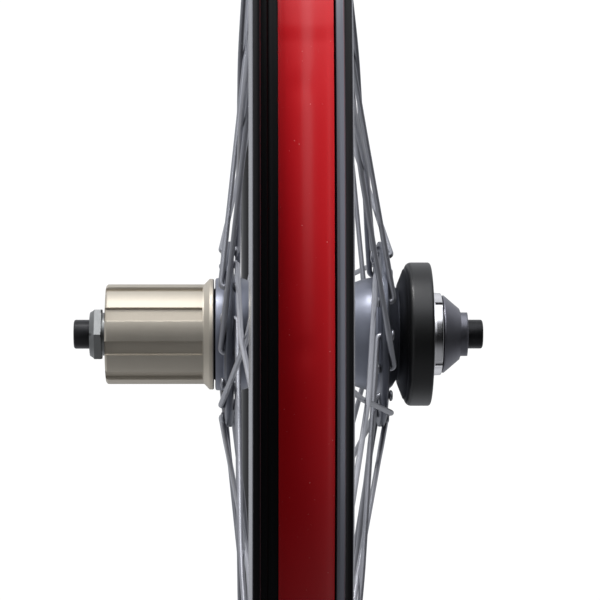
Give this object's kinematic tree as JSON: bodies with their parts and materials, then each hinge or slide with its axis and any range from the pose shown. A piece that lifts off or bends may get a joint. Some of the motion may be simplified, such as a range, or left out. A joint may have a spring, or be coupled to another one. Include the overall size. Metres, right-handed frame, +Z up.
{
  "type": "bicycle rear wheel",
  "caption": "Rear road bicycle wheel without a tyre: alloy clincher rim with tape, crossed spokes, hub with freehub and a sensor cap on the far side.",
  "frame": {"origin": "centre of the wheel, on the axle midway between the two dropout faces", "axes": "+X is the way the bicycle travels, +Y is along the axle towards the side without the sprockets, +Z is up"},
  "size_m": [0.6335, 0.141, 0.6336],
  "materials": {
    "axle_alloy": "black anodised",
    "nut_alloy": "bright turned",
    "spacer_alloy": "grey anodised",
    "end_cap_alloy": "dark grey anodised",
    "bearing_steel": "ground",
    "ball_steel": "polished",
    "cage_plastic": "brown moulded",
    "seal_rubber": "black",
    "shell_alloy": "dark anodised",
    "tool_steel": "hardened",
    "cap_plastic": "black satin",
    "lock_ring_alloy": "polished",
    "o_ring_rubber": "red brown",
    "board_laminate": "green laminate",
    "cell_can": "nickel plated",
    "contact_bronze": "sprung strip",
    "spoke_steel": "black oxide stainless",
    "nipple_brass": "black plated",
    "rim_alloy": "black anodised, machined brake tracks",
    "tape_film": "glossy red",
    "freehub_alloy": "pale champagne anodised",
    "spring_steel": "sprung"
  },
  "bodies": {
    "axle": {"axle": "axle_alloy", "drive_locknut": "nut_alloy", "drive_spacer": "spacer_alloy", "freehub_spacer": "spacer_alloy", "hub_spacer": "spacer_alloy", "far_spacer": "spacer_alloy", "far_end_cap": "end_cap_alloy", "drive_bearing_inner_race": "bearing_steel", "far_bearing_inner_race": "bearing_steel", "freehub_outer_bearing_inner_race": "bearing_steel", "freehub_inner_bearing_inner_race": "bearing_steel"},
    "wheel": {"hub_shell": "shell_alloy", "ratchet_ring": "tool_steel", "sensor_cap": "cap_plastic", "sensor_cap_lid": "cap_plastic", "cap_lock_ring": "lock_ring_alloy", "cap_o_ring": "o_ring_rubber", "circuit_board": "board_laminate", "button_cells": "cell_can", "cell_contacts": "contact_bronze", "drive_outside_spokes": "spoke_steel", "drive_inside_spokes": "spoke_steel", "far_outside_spokes": "spoke_steel", "far_inside_spokes": "spoke_steel", "drive_nipples": "nipple_brass", "far_nipples": "nipple_brass", "rim": "rim_alloy", "rim_tape": "tape_film", "drive_bearing_outer_race": "bearing_steel", "far_bearing_outer_race": "bearing_steel", "drive_bearing_seals": "seal_rubber", "far_bearing_seals": "seal_rubber"},
    "drive_ball_set": {"drive_bearing_balls": "ball_steel", "drive_bearing_cage": "cage_plastic"},
    "far_ball_set": {"far_bearing_balls": "ball_steel", "far_bearing_cage": "cage_plastic"},
    "freehub": {"freehub_body": "freehub_alloy", "freehub_circlip": "spring_steel", "freehub_seal": "seal_rubber", "pawl_springs": "spring_steel", "freehub_outer_bearing_outer_race": "bearing_steel", "freehub_inner_bearing_outer_race": "bearing_steel", "freehub_outer_bearing_seals": "seal_rubber", "freehub_inner_bearing_seals": "seal_rubber", "freehub_outer_bearing_balls": "ball_steel", "freehub_inner_bearing_balls": "ball_steel", "freehub_outer_bearing_cage": "cage_plastic", "freehub_inner_bearing_cage": "cage_plastic"},
    "pawl_1": {"pawl_1": "tool_steel"},
    "pawl_2": {"pawl_2": "tool_steel"},
    "pawl_3": {"pawl_3": "tool_steel"}
  },
  "joints": [
    {"name": "wheel_spin", "type": "hinge", "parent": "axle", "child": "wheel", "pos_m": [0, 0, 0], "axis": [0, 1, 0], "continuous": true},
    {"name": "drive_ball_set_spin", "type": "hinge", "parent": "axle", "child": "drive_ball_set", "pos_m": [0, -0.005, 0], "axis": [0, 1, 0], "continuous": true},
    {"name": "far_ball_set_spin", "type": "hinge", "parent": "axle", "child": "far_ball_set", "pos_m": [0, 0.0395, 0], "axis": [0, 1, 0], "continuous": true},
    {"name": "freehub_overrun", "type": "hinge", "parent": "wheel", "child": "freehub", "pos_m": [0, -0.04, 0], "axis": [0, 1, 0], "continuous": true},
    {"name": "pawl_1_swing", "type": "hinge", "parent": "freehub", "child": "pawl_1", "pos_m": [0, -0.01475, 0.0114], "axis": [0, 1, 0], "range_deg": [0, 13], "stiffness_Nm_per_rad": 0.01, "springref_deg": -11.46},
    {"name": "pawl_2_swing", "type": "hinge", "parent": "freehub", "child": "pawl_2", "pos_m": [0.00987, -0.01475, -0.0057], "axis": [0, 1, 0], "range_deg": [0, 13], "stiffness_Nm_per_rad": 0.01, "springref_deg": -11.46},
    {"name": "pawl_3_swing", "type": "hinge", "parent": "freehub", "child": "pawl_3", "pos_m": [-0.00987, -0.01475, -0.0057], "axis": [0, 1, 0], "range_deg": [0, 13], "stiffness_Nm_per_rad": 0.01, "springref_deg": -11.46}
  ],
  "couplings": [
    {"joint": "drive_ball_set_spin", "follows": "wheel_spin", "ratio": 0.5921},
    {"joint": "far_ball_set_spin", "follows": "wheel_spin", "ratio": 0.5921},
    {"joint": "pawl_2_swing", "follows": "pawl_1_swing", "ratio": 1},
    {"joint": "pawl_3_swing", "follows": "pawl_1_swing", "ratio": 1}
  ]
}
